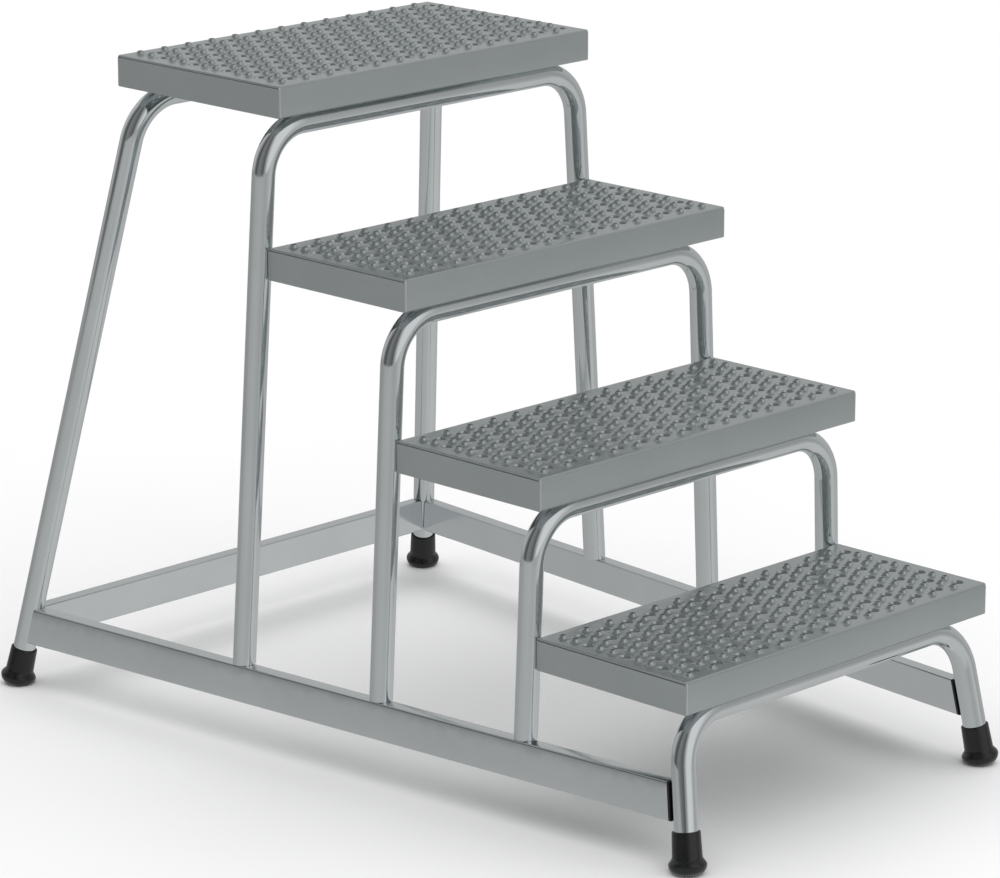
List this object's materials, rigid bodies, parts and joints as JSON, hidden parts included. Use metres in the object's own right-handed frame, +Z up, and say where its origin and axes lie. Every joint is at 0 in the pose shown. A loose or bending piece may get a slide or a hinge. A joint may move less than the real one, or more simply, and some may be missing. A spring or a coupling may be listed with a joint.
{
  "type": "mounting block",
  "caption": "Free-standing mounting step: bent round-tube hoops on a box-tube base carry studded, perforated metal treads; the legs stand in rubber feet.",
  "frame": {"origin": "on the floor, at the centre of the footprint", "axes": "+Z up, +Y the way a person climbs, +X to the climber's right"},
  "size_m": [0.863, 1.2443, 0.9195],
  "materials": {
    "tread_steel": "satin sheet metal, pierced and embossed against slipping",
    "tube_steel": "bright polished round tube",
    "rail_steel": "bright satin box tube",
    "washer_steel": "zinc plated",
    "foot_rubber": "moulded black rubber, slightly glossy",
    "plug_plastic": "moulded black plastic"
  },
  "bodies": {
    "root": {"foot_front_left": "foot_rubber", "foot_front_right": "foot_rubber", "foot_rear_left": "foot_rubber", "foot_rear_right": "foot_rubber", "foot_washer_front_left": "washer_steel", "foot_washer_front_right": "washer_steel", "foot_washer_rear_left": "washer_steel", "foot_washer_rear_right": "washer_steel", "front_hoop": "tube_steel", "platform_end_left": "tread_steel", "platform_end_right": "tread_steel", "platform_hoop": "tube_steel", "platform_tray": "tread_steel", "rail_plug_left": "plug_plastic", "rail_plug_right": "plug_plastic", "rear_hoop": "tube_steel", "rear_rail": "rail_steel", "side_rail_left": "rail_steel", "side_rail_right": "rail_steel", "step_1_end_left": "tread_steel", "step_1_end_right": "tread_steel", "step_1_tray": "tread_steel", "step_2_end_left": "tread_steel", "step_2_end_right": "tread_steel", "step_2_hoop": "tube_steel", "step_2_tray": "tread_steel", "step_3_end_left": "tread_steel", "step_3_end_right": "tread_steel", "step_3_hoop": "tube_steel", "step_3_tray": "tread_steel"}
  },
  "joints": []
}
